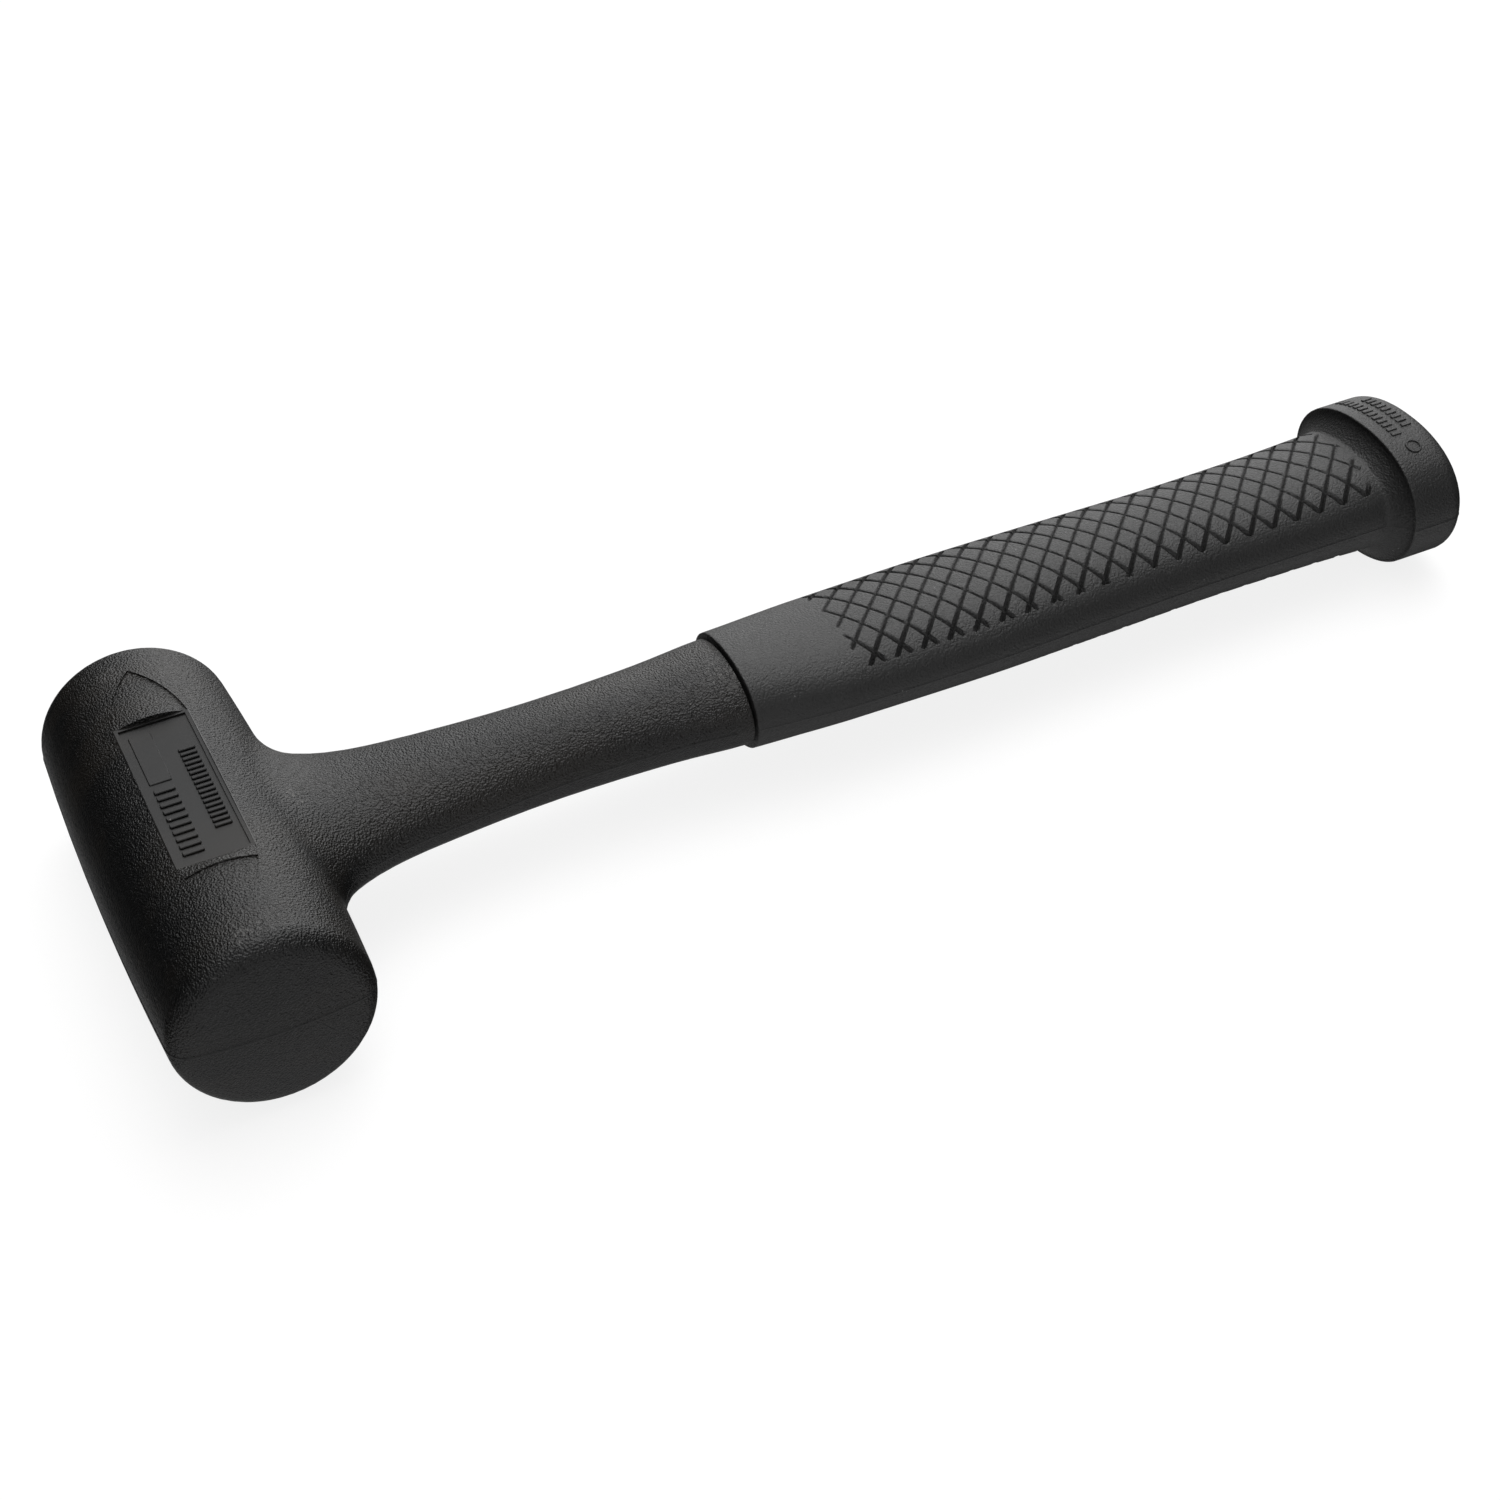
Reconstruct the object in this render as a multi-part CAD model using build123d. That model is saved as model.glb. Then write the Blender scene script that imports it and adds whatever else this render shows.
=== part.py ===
from build123d import *
import math
import os

# Dead blow mallet with a hollow head, in millimetres.
# The origin is the middle of the head, where the head's axis crosses the handle's axis.
# +X runs along the handle to the butt, +Y along the head to its far face, +Z out of a flank.
# The two halves of the mould met in the plane Z = 0.

# ---- Head of the casing ----
FACE_RADIUS = 15.0           # nominal 30 mm striking face
HEAD_SWELL = 1.05            # how much thicker the head is at mid length
HEAD_LENGTH = 79.6           # over both crowned faces
FACE_CROWN = 1.5             # height of the crown on each face
FACE_EDGE_ROUND = 3.7
HEAD_RADIUS = FACE_RADIUS + HEAD_SWELL

# ---- Marking panel on each flank ----
PANEL_HALF_WIDTH = 5.7       # along the handle
PANEL_HALF_LENGTH = 17.5     # along the head
PANEL_FLOOR = 14.45          # height of the floor above the head's axis
PANEL_LEDGE = 0.55           # width of the ledge round the floor
PANEL_LEDGE_RISE = 0.3
PANEL_RAMP = 2.6             # length of the sloping end wall
ARCH_LENGTH = 13.1           # pointed facet beyond each end of the panel
ARCH_DEPTH = 0.25
ARCH_BULGE = 1.1             # how far each side of the arch bows out

# ---- Neck and the core under the grip ----
# Each station is (distance along the handle, half width in Y, half thickness in Z).
NECK_STATIONS = [
    (9.0, 21.0, 11.6),
    (16.3, 16.6, 8.9),
    (22.3, 13.6, 7.4),
    (30.9, 11.55, 6.85),
    (42.9, 10.2, 6.7),
    (56.6, 9.35, 6.85),
    (70.3, 9.75, 6.95),
    (80.0, 10.7, 7.15),
    (86.2, 11.3, 7.35),
]
SHOULDER_X = NECK_STATIONS[-1][0]
NECK_FILLET = 9.0            # hollow round between the head and the neck
CORE_HALF_WIDTH = 9.3
CORE_HALF_THICKNESS = 5.2
CORE_END = 212.0

# ---- Grip sleeve with its butt flange ----
SLEEVE_START = 86.6
GRIP_STATIONS = [
    (SLEEVE_START, 11.9, 8.0),
    (95.0, 12.9, 7.6),
    (104.0, 13.7, 7.4),
    (127.0, 14.1, 7.6),
    (150.0, 13.4, 7.9),
    (173.0, 12.95, 7.8),
    (190.0, 13.1, 8.0),
    (204.5, 13.3, 8.9),
]
FLANGE_HALF_WIDTH = 17.05
FLANGE_HALF_THICKNESS = 12.3
FLANGE_LIP = 0.3             # how far the rim stands out from the flare
FLANGE_FRONT = 209.2
BUTT_X = 220.2
BUTT_ROUND = 3.1
FLARE_STEPS = 4              # sections in the rounded flare
FLARE_OVERLAP = 0.6          # how far the flare runs on inside the flange

# ---- Canister ----
CANISTER_RADIUS = 11.0
CANISTER_BORE = 9.8
TUBE_HALF_LENGTH = 27.0
CAP_FLANGE = 1.2
CAP_SPIGOT = 3.0
WELD_SIZE = 0.7

# ---- Reinforcing rod and its fixings ----
ROD_RADIUS = 3.0
ROD_START = 12.5
ROD_END = 208.0
BOSS_RADIUS = 5.0
BOSS_END = 25.0
BOSS_WELD_SIZE = 1.4
ROLL_PIN_RADIUS = 1.25
ROLL_PIN_WALL = 0.4
ROLL_PIN_HALF_LENGTH = 5.0
ROLL_PIN_X = 19.0
ROLL_PIN_SLIT = 0.5
COLLAR_RADIUS = 4.4
COLLAR_START = 200.0
COLLAR_LENGTH = 4.0

# ---- Shot ----
BALL_RADIUS = 2.0
BALL_PITCH = 4.1             # leaves a tenth of a millimetre between balls
BALL_LAYERS = 11
WALL_CLEARANCE = 0.25


def ellipse_at(x, half_width, half_thickness):
    """A flat elliptical section across the handle."""
    place = Plane(origin=(x, 0, 0), x_dir=(0, 1, 0), z_dir=(1, 0, 0))
    return place * Ellipse(half_width, half_thickness)


def loft_along_handle(stations):
    return loft([ellipse_at(*station) for station in stations])


def cylinder_along(axis, radius, start, end):
    """A cylinder on the X or Y axis, from start to end."""
    length = end - start
    middle = (start + end) / 2
    if axis == "x":
        return Pos(middle, 0, 0) * Rot(0, 90, 0) * Cylinder(radius, length)
    return Pos(0, middle, 0) * Rot(90, 0, 0) * Cylinder(radius, length)


def barrel(shrink=0.0):
    """The swollen head with crowned faces and rounded edges, or a copy shrunk radially."""
    face_radius = FACE_RADIUS - shrink
    tip_y = HEAD_LENGTH / 2
    rim_y = tip_y - FACE_CROWN
    crown_near = ThreePointArc((0, -tip_y), (face_radius / 2, -tip_y + FACE_CROWN / 4), (face_radius, -rim_y))
    side = ThreePointArc((face_radius, -rim_y), (HEAD_RADIUS - shrink, 0), (face_radius, rim_y))
    crown_far = ThreePointArc((face_radius, rim_y), (face_radius / 2, tip_y - FACE_CROWN / 4), (0, tip_y))
    middle = Line((0, tip_y), (0, -tip_y))
    half = make_face(Curve() + [crown_near, side, crown_far, middle])
    solid = revolve(half, axis=Axis.Y)
    rims = [edge for edge in solid.edges() if abs(abs(edge.center().Y) - rim_y) < 0.01]
    # The revolved surface's own seam is turned away from the handle, so that it doesn't cross the neck.
    return Rot(0, 180, 0) * fillet(rims, FACE_EDGE_ROUND)


def pointed_arch():
    """Outline of the facet beyond the panel's far end: two bowed sides that meet in a point."""
    tip = (0, PANEL_HALF_LENGTH + ARCH_LENGTH)
    left = (-PANEL_HALF_WIDTH, PANEL_HALF_LENGTH)
    right = (PANEL_HALF_WIDTH, PANEL_HALF_LENGTH)
    base = Line(left, right)
    right_side = SagittaArc(right, tip, -ARCH_BULGE)
    left_side = SagittaArc(tip, left, -ARCH_BULGE)
    return make_face(Curve() + [base, right_side, left_side])


def panel_cutter():
    """Everything that the marking panel takes out of the upper flank."""
    above = HEAD_RADIUS + 1
    ledge_z = PANEL_FLOOR + PANEL_LEDGE_RISE
    ledge_size = (2 * PANEL_HALF_WIDTH, 2 * PANEL_HALF_LENGTH, above - ledge_z)
    ledge = Pos(0, 0, (above + ledge_z) / 2) * Box(*ledge_size)
    floor_size = (ledge_size[0] - 2 * PANEL_LEDGE, ledge_size[1] - 2 * PANEL_LEDGE, above - PANEL_FLOOR)
    floor = Pos(0, 0, (above + PANEL_FLOOR) / 2) * Box(*floor_size)
    ramp_top = HEAD_RADIUS + 0.2
    slope = (ramp_top - ledge_z) / PANEL_RAMP
    ramp_reach = (above - ledge_z) / slope
    ramp_outline = Polyline(
        (-PANEL_HALF_LENGTH, ledge_z),
        (-PANEL_HALF_LENGTH - ramp_reach, above),
        (-PANEL_HALF_LENGTH, above),
        close=True,
    )
    ramp = extrude(Plane.YZ * make_face(ramp_outline), PANEL_HALF_WIDTH, both=True)
    arch = extrude(pointed_arch(), above)
    skin = arch + mirror(arch, about=Plane.XZ) - barrel(ARCH_DEPTH)
    return ledge + floor + ramp + skin


def rod_pocket():
    """The room that the rod and its fixings take inside the handle."""
    rod = cylinder_along("x", ROD_RADIUS, 0, CORE_END + 1)
    boss = cylinder_along("x", BOSS_RADIUS, 0, BOSS_END)
    collar = cylinder_along("x", COLLAR_RADIUS, COLLAR_START, COLLAR_START + COLLAR_LENGTH)
    pin = Pos(ROLL_PIN_X, 0, 0) * Cylinder(ROLL_PIN_RADIUS, 2 * ROLL_PIN_HALF_LENGTH)
    return rod + boss + collar + pin


def canister_pocket():
    """The room that the closed canister takes inside the head, with its weld beads."""
    end_y = TUBE_HALF_LENGTH + CAP_FLANGE
    return cylinder_along("y", CANISTER_RADIUS, -end_y, end_y) + cap_weld(1) + cap_weld(-1)


def handle_core():
    return extrude(ellipse_at(SHOULDER_X, CORE_HALF_WIDTH, CORE_HALF_THICKNESS), CORE_END - SHOULDER_X)


def is_head_to_neck(edge):
    """True for the closed edge where the neck leaves the side of the head."""
    box = edge.bounding_box()
    return 0 < box.min.X and box.max.X < HEAD_RADIUS


def casing():
    """One moulding: head, neck and the core that the grip is moulded over."""
    body = barrel() + loft_along_handle(NECK_STATIONS)
    junction = [edge for edge in body.edges() if is_head_to_neck(edge)]
    body = fillet(junction, NECK_FILLET)
    cutter = panel_cutter()
    body = body - cutter - mirror(cutter, about=Plane.XY)
    body = body + handle_core()
    return body - canister_pocket() - rod_pocket() - boss_weld()


def flare_stations():
    """Sections of the hollow flare between the grip and the flange, which it meets just inside the rim."""
    start_x, start_width, start_thickness = GRIP_STATIONS[-1]
    end_width = FLANGE_HALF_WIDTH - FLANGE_LIP
    end_thickness = FLANGE_HALF_THICKNESS - FLANGE_LIP
    stations = []
    for step in range(1, FLARE_STEPS + 1):
        turn = math.radians(90 * step / FLARE_STEPS)
        along = math.sin(turn)
        out = 1 - math.cos(turn)
        stations.append((
            start_x + (FLANGE_FRONT + FLARE_OVERLAP - start_x) * along,
            start_width + (end_width - start_width) * out,
            start_thickness + (end_thickness - start_thickness) * out,
        ))
    return stations


def butt_flange():
    """Oval disc round the end of the flare, rounded on its back edge."""
    front = ellipse_at(FLANGE_FRONT, FLANGE_HALF_WIDTH, FLANGE_HALF_THICKNESS)
    disc = extrude(front, BUTT_X - FLANGE_FRONT)
    back_edge = disc.edges().sort_by(Axis.X)[-1]
    return fillet(back_edge, BUTT_ROUND)


def grip_sleeve():
    """Rubber sleeve, closed at the butt and widened there into a flange."""
    grip = loft_along_handle(GRIP_STATIONS)
    flare = loft_along_handle([GRIP_STATIONS[-1]] + flare_stations())
    return grip + flare + butt_flange() - handle_core()


def canister_tube():
    outside = cylinder_along("y", CANISTER_RADIUS, -TUBE_HALF_LENGTH, TUBE_HALF_LENGTH)
    inside = cylinder_along("y", CANISTER_BORE, -TUBE_HALF_LENGTH - 1, TUBE_HALF_LENGTH + 1)
    return outside - inside


def canister_cap(side):
    """Turned end cap with a spigot in the tube; side is 1 or -1."""
    end_y = TUBE_HALF_LENGTH + CAP_FLANGE
    flange = cylinder_along("y", CANISTER_RADIUS, TUBE_HALF_LENGTH, end_y)
    spigot = cylinder_along("y", CANISTER_BORE, TUBE_HALF_LENGTH - CAP_SPIGOT, TUBE_HALF_LENGTH)
    cap = flange + spigot
    if side < 0:
        cap = mirror(cap, about=Plane.XZ)
    return cap


def cap_weld(side):
    """Bead round the joint between the tube and a cap."""
    top = CANISTER_RADIUS + WELD_SIZE
    bead = ThreePointArc(
        (CANISTER_RADIUS, TUBE_HALF_LENGTH - WELD_SIZE),
        (top, TUBE_HALF_LENGTH),
        (CANISTER_RADIUS, TUBE_HALF_LENGTH + WELD_SIZE),
    )
    flat = Line((CANISTER_RADIUS, TUBE_HALF_LENGTH + WELD_SIZE), (CANISTER_RADIUS, TUBE_HALF_LENGTH - WELD_SIZE))
    ring = revolve(make_face(Curve() + [bead, flat]), axis=Axis.Y)
    if side < 0:
        ring = mirror(ring, about=Plane.XZ)
    return ring


def rod_boss():
    """Short socket that stands on the canister and holds the rod."""
    outside = cylinder_along("x", BOSS_RADIUS, 0, BOSS_END)
    bore = cylinder_along("x", ROD_RADIUS, 0, BOSS_END + 1)
    cross_hole = Pos(ROLL_PIN_X, 0, 0) * Cylinder(ROLL_PIN_RADIUS, 4 * BOSS_RADIUS)
    saddle = cylinder_along("y", CANISTER_RADIUS, -2 * BOSS_RADIUS, 2 * BOSS_RADIUS)
    return outside - bore - cross_hole - saddle


def boss_weld():
    """Bead that joins the foot of the socket to the canister."""
    foot = cylinder_along("x", BOSS_RADIUS + BOSS_WELD_SIZE, 0, CANISTER_RADIUS + BOSS_WELD_SIZE)
    shell = cylinder_along("y", CANISTER_RADIUS + BOSS_WELD_SIZE / 2, -3 * BOSS_RADIUS, 3 * BOSS_RADIUS)
    canister = cylinder_along("y", CANISTER_RADIUS, -3 * BOSS_RADIUS, 3 * BOSS_RADIUS)
    socket = cylinder_along("x", BOSS_RADIUS, 0, BOSS_END)
    ring = (foot & shell) - canister - socket
    return max(ring.solids(), key=lambda solid: solid.volume)


def roll_pin():
    """Rolled spring pin through the socket and the rod, with its slit towards the butt."""
    length = 2 * ROLL_PIN_HALF_LENGTH
    shell = Cylinder(ROLL_PIN_RADIUS, length) - Cylinder(ROLL_PIN_RADIUS - ROLL_PIN_WALL, length)
    slit = Pos(ROLL_PIN_RADIUS, 0, 0) * Box(2 * ROLL_PIN_WALL + 0.5, ROLL_PIN_SLIT, length)
    return Pos(ROLL_PIN_X, 0, 0) * (shell - slit)


def handle_rod():
    rod = cylinder_along("x", ROD_RADIUS, ROD_START, ROD_END)
    cross_hole = Pos(ROLL_PIN_X, 0, 0) * Cylinder(ROLL_PIN_RADIUS, 4 * ROD_RADIUS)
    return rod - cross_hole


def rod_anchor_collar():
    """Collar pressed on the rod, which keys it into the core."""
    outside = cylinder_along("x", COLLAR_RADIUS, COLLAR_START, COLLAR_START + COLLAR_LENGTH)
    bore = cylinder_along("x", ROD_RADIUS, COLLAR_START - 1, COLLAR_START + COLLAR_LENGTH + 1)
    return outside - bore


def ball_centres():
    """Close-packed layers across the canister, every second one shifted into the hollows."""
    layer_gap = BALL_PITCH * math.sqrt(2 / 3)
    row_gap = BALL_PITCH * math.sqrt(3) / 2
    reach = CANISTER_BORE - BALL_RADIUS - WALL_CLEARANCE
    count = math.ceil(reach / row_gap) + 1
    centres = []
    for layer in range(BALL_LAYERS):
        y = (layer - (BALL_LAYERS - 1) / 2) * layer_gap
        shift = row_gap * 2 / 3 if layer % 2 else 0.0
        for row in range(-count, count + 1):
            for column in range(-count, count + 1):
                x = (column + (row % 2) / 2) * BALL_PITCH
                z = row * row_gap + shift
                if math.hypot(x, z) <= reach:
                    centres.append((x, y, z))
    return centres


def steel_shot():
    return Compound(children=[Pos(*centre) * Sphere(BALL_RADIUS) for centre in ball_centres()])


def main():
    os.makedirs("parts", exist_ok=True)
    pieces = {
        "casing": casing(),
        "grip_sleeve": grip_sleeve(),
        "canister_tube": canister_tube(),
        "canister_cap_near": canister_cap(-1),
        "canister_cap_far": canister_cap(1),
        "cap_weld_near": cap_weld(-1),
        "cap_weld_far": cap_weld(1),
        "rod_boss": rod_boss(),
        "boss_weld": boss_weld(),
        "roll_pin": roll_pin(),
        "handle_rod": handle_rod(),
        "rod_anchor_collar": rod_anchor_collar(),
        "steel_shot": steel_shot(),
    }
    for name, piece in pieces.items():
        export_step(piece, f"parts/{name}.step")
        print(name, "volume", round(piece.volume, 1))


main()
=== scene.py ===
import math

import bmesh
import bpy
import numpy as np
from mathutils import Matrix, Vector


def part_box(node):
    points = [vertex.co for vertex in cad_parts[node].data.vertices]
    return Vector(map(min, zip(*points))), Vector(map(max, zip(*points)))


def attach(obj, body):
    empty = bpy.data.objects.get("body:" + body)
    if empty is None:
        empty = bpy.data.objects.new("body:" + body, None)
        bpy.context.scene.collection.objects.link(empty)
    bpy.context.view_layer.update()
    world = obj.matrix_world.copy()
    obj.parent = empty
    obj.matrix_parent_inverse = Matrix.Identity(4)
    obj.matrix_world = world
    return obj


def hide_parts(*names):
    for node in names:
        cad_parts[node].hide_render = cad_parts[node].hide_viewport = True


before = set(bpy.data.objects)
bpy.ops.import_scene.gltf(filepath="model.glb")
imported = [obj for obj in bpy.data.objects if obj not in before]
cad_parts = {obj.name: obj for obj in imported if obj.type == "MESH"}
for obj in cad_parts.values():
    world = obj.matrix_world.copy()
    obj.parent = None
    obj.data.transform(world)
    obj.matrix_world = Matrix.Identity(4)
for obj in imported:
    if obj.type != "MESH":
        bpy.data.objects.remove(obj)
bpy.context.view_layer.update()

# ---------------------------------------------------------------------------
# Driving dimensions, in metres. +X runs to the butt, +Y along the head, +Z out of the flank.
# ---------------------------------------------------------------------------
MM = 0.001
FLANKS = (("upper", 1), ("lower", -1))

# Grip sleeve.
SLEEVE_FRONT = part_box("grip_sleeve")[0].x
BUTT_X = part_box("grip_sleeve")[1].x
FLANGE_HALF_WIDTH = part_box("grip_sleeve")[1].y
FLANGE_HALF_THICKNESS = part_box("grip_sleeve")[1].z
FLANGE_FRONT = BUTT_X - 11.0 * MM
FLARE_START = BUTT_X - 13.8 * MM
BUTT_ROUND = 3.2 * MM
# Half width in Y and half thickness in Z at places along the handle.
GRIP_PROFILE = [
    (SLEEVE_FRONT, 11.8 * MM, 8.0 * MM),
    (95.0 * MM, 12.8 * MM, 7.6 * MM),
    (104.0 * MM, 13.6 * MM, 7.35 * MM),
    (127.0 * MM, 14.0 * MM, 7.55 * MM),
    (150.0 * MM, 13.3 * MM, 7.9 * MM),
    (173.0 * MM, 12.9 * MM, 7.75 * MM),
    (190.0 * MM, 13.1 * MM, 7.9 * MM),
    (FLARE_START, 13.3 * MM, 8.8 * MM),
]
GRIP_ROUNDNESS = 2.2           # exponent of the oval: 2 is an ellipse, more is squarer

# The moulding's core inside the sleeve, and the shoulder of the neck in front of it.
CORE_HALF_WIDTH = 9.3 * MM
CORE_HALF_THICKNESS = 5.2 * MM
CORE_END = 212.0 * MM
SHOULDER_X = 86.2 * MM

# Marking panel on each flank of the head.
PANEL_HALF_WIDTH = 5.7 * MM
PANEL_HALF_LENGTH = 17.5 * MM
PANEL_FLOOR = 14.45 * MM


def smoothstep(low, high, value):
    t = min(max((value - low) / (high - low), 0.0), 1.0)
    return t * t * (3 - 2 * t)


def monotone_slopes(xs, ys):
    """Slopes of a smooth curve through the points, with no overshoot between them."""
    steps = np.diff(xs)
    rates = np.diff(ys) / steps
    slopes = np.zeros(len(xs))
    for i in range(1, len(xs) - 1):
        if rates[i - 1] * rates[i] > 0:
            slopes[i] = 2 * rates[i - 1] * rates[i] / (rates[i - 1] + rates[i])
    slopes[0] = rates[0]
    slopes[-1] = rates[-1]
    return slopes


def smooth_curve(points):
    """A function through (x, y) points, joined by cubic pieces."""
    xs = np.array([p[0] for p in points])
    ys = np.array([p[1] for p in points])
    slopes = monotone_slopes(xs, ys)

    def value(x):
        x = min(max(x, xs[0]), xs[-1])
        i = min(int(np.searchsorted(xs, x, side="right")) - 1, len(xs) - 2)
        step = xs[i + 1] - xs[i]
        t = (x - xs[i]) / step
        start = (1 + 2 * t) * (1 - t) ** 2 * ys[i] + t * (1 - t) ** 2 * step * slopes[i]
        end = t * t * (3 - 2 * t) * ys[i + 1] + t * t * (t - 1) * step * slopes[i + 1]
        return start + end

    return value


# ---------------------------------------------------------------------------
# Meshes
# ---------------------------------------------------------------------------
def new_piece(name, vertices, faces, material):
    """A smooth mesh that rides on the mallet's body."""
    mesh = bpy.data.meshes.new(name)
    mesh.from_pydata([tuple(v) for v in vertices], [], faces)
    mesh.validate()
    mesh.polygons.foreach_set("use_smooth", [True] * len(mesh.polygons))
    mesh.materials.append(material)
    piece = bpy.data.objects.new(name, mesh)
    bpy.context.scene.collection.objects.link(piece)
    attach(piece, "mallet")
    return piece


def join_rings(faces, first, second, count):
    """Adds the faces between two closed rings, each given by the number of its first point."""
    for c in range(count):
        after = (c + 1) % count
        faces.append((first + c, first + after, second + after, second + c))


def bar_faces(ring_count, count):
    """Faces of a bar made of rings of points, with both ends closed."""
    last = (ring_count - 1) * count
    faces = [tuple(range(count)), tuple(last + c for c in reversed(range(count)))]
    for ring in range(ring_count - 1):
        join_rings(faces, ring * count, (ring + 1) * count, count)
    return faces


def turn_faces_outwards(piece):
    bm = bmesh.new()
    bm.from_mesh(piece.data)
    bmesh.ops.recalc_face_normals(bm, faces=bm.faces)
    bm.to_mesh(piece.data)
    bm.free()


# ---------------------------------------------------------------------------
# Materials
# ---------------------------------------------------------------------------
NOISE_SPAN = (0.3, 0.7)        # where most values of a noise lie
CASING_ROUGHNESS = 0.34
RUBBER_ROUGHNESS = 0.50
PANEL_SKIN = 0.2 * MM          # plain skin beside the marking panels
# Rubbed places on the casing: centre, radius and how light they have become.
SCUFFS = [
    ((84.6 * MM, -3.6 * MM, 6.9 * MM), 5.0 * MM, 0.40),
    ((14.7 * MM, -2.5 * MM, 9.4 * MM), 1.8 * MM, 0.60),
    ((15.8 * MM, -4.6 * MM, 8.9 * MM), 1.4 * MM, 0.50),
    ((-1.5 * MM, -35.2 * MM, 15.1 * MM), 1.9 * MM, 0.45),
    ((1.6 * MM, -34.8 * MM, 15.1 * MM), 2.0 * MM, 0.30),
    ((-2.9 * MM, 31.1 * MM, 15.1 * MM), 2.4 * MM, 0.25),
]


class NodeTree:
    """Short ways to add and join shader nodes."""

    def __init__(self, tree):
        self.tree = tree

    def add(self, kind, **settings):
        node = self.tree.nodes.new(kind)
        for key, value in settings.items():
            setattr(node, key, value)
        return node

    def link(self, source, target):
        self.tree.links.new(source, target)

    def feed(self, target, value):
        """Links a socket to another, or gives it a plain value."""
        if isinstance(value, bpy.types.NodeSocket):
            self.link(value, target)
        else:
            target.default_value = value

    def math(self, operation, a, b=0.0):
        node = self.add("ShaderNodeMath", operation=operation)
        self.feed(node.inputs[0], a)
        self.feed(node.inputs[1], b)
        return node.outputs[0]

    def combine(self, operation, values):
        """All the values, joined one after another by the same operation."""
        result = values[0]
        for value in values[1:]:
            result = self.math(operation, result, value)
        return result


class MaterialNodes(NodeTree):
    """A new material, its shader, and textures laid out in the object's own metres."""

    def __init__(self, name):
        self.material = bpy.data.materials.new(name)
        self.material.use_nodes = True
        super().__init__(self.material.node_tree)
        self.shader = self.tree.nodes["Principled BSDF"]
        self.coords = self.add("ShaderNodeTexCoord").outputs["Object"]

    def drive(self, name, source):
        """Links one of the shader's inputs."""
        self.link(source, self.shader.inputs[name])

    def stretched(self, factors):
        node = self.add("ShaderNodeMapping")
        self.link(self.coords, node.inputs["Vector"])
        node.inputs["Scale"].default_value = factors
        return node.outputs[0]

    def noise(self, scale, detail=2.0, vector=None):
        node = self.add("ShaderNodeTexNoise")
        self.link(vector or self.coords, node.inputs["Vector"])
        node.inputs["Scale"].default_value = scale
        node.inputs["Detail"].default_value = detail
        return node.outputs["Fac"]

    def cells(self, scale, feature="F1"):
        """Distance to the middle of the nearest of many scattered cells."""
        node = self.add("ShaderNodeTexVoronoi", feature=feature)
        self.link(self.coords, node.inputs["Vector"])
        node.inputs["Scale"].default_value = scale
        return node.outputs["Distance"]

    def spread(self, value, from_low, from_high, to_low=0.0, to_high=1.0):
        """The value, moved from one range to another and kept inside it."""
        node = self.add("ShaderNodeMapRange")
        self.feed(node.inputs["Value"], value)
        node.inputs["From Min"].default_value = from_low
        node.inputs["From Max"].default_value = from_high
        node.inputs["To Min"].default_value = to_low
        node.inputs["To Max"].default_value = to_high
        return node.outputs["Result"]

    def blend_colours(self, factor, first, second):
        node = self.add("ShaderNodeMix", data_type="RGBA")
        colour_inputs = [socket for socket in node.inputs if socket.type == "RGBA"]
        colour_output = next(socket for socket in node.outputs if socket.type == "RGBA")
        self.feed(node.inputs["Factor"], factor)
        self.feed(colour_inputs[0], first)
        self.feed(colour_inputs[1], second)
        return colour_output

    def bump(self, height, distance, strength=1.0, normal=None):
        node = self.add("ShaderNodeBump")
        self.link(height, node.inputs["Height"])
        node.inputs["Distance"].default_value = distance
        node.inputs["Strength"].default_value = strength
        if normal is not None:
            self.link(normal, node.inputs["Normal"])
        return node.outputs["Normal"]


def grey(level, warmth=0.0):
    """A grey colour, redder where warmth is above 0 and bluer below it."""
    return (level * (1 + warmth), level, level * (1 - warmth), 1.0)


def panel_mask(n):
    """1 on the smooth floor of the marking panels, 0 elsewhere."""
    split = n.add("ShaderNodeSeparateXYZ")
    n.link(n.coords, split.inputs[0])
    x, y, z = [n.math("ABSOLUTE", socket) for socket in split.outputs]
    inside = [
        n.math("LESS_THAN", x, PANEL_HALF_WIDTH + PANEL_SKIN),
        n.math("LESS_THAN", y, PANEL_HALF_LENGTH),
        n.math("GREATER_THAN", z, PANEL_FLOOR - 0.3 * MM),
        n.math("LESS_THAN", z, PANEL_FLOOR + 0.5 * MM),
    ]
    return n.combine("MULTIPLY", inside)


def spot(n, centre, radius):
    """1 at a place on the object, fading to 0 at the radius."""
    away = n.add("ShaderNodeVectorMath", operation="DISTANCE")
    n.link(n.coords, away.inputs[0])
    away.inputs[1].default_value = centre
    full_within = 0.3 * radius
    return n.spread(away.outputs["Value"], radius, full_within)


def dust(n, spacing, size, share):
    """Sparse light specks: the middles of some cells of a scattered pattern."""
    fades_from = size / spacing
    full_within = 0.6 * fades_from
    choice_scale = 0.37 / spacing
    near_middle = n.spread(n.cells(1 / spacing), fades_from, full_within)
    chosen = n.math("GREATER_THAN", n.noise(choice_scale, detail=0.0), 1 - share)
    return n.math("MULTIPLY", near_middle, chosen)


def casing_wear(n):
    """How light the casing is rubbed or dusty, from 0 to 1."""
    patches = [n.math("MULTIPLY", spot(n, centre, radius), strength) for centre, radius, strength in SCUFFS]
    scratches = n.spread(n.noise(scale=1700, detail=3.0), 0.50, 0.64)
    rubbed = n.math("MULTIPLY", n.combine("MAXIMUM", patches), scratches)
    specks = n.math("MULTIPLY", dust(n, spacing=3.2 * MM, size=0.16 * MM, share=0.45), 0.7)
    return n.math("MAXIMUM", rubbed, specks)


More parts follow.
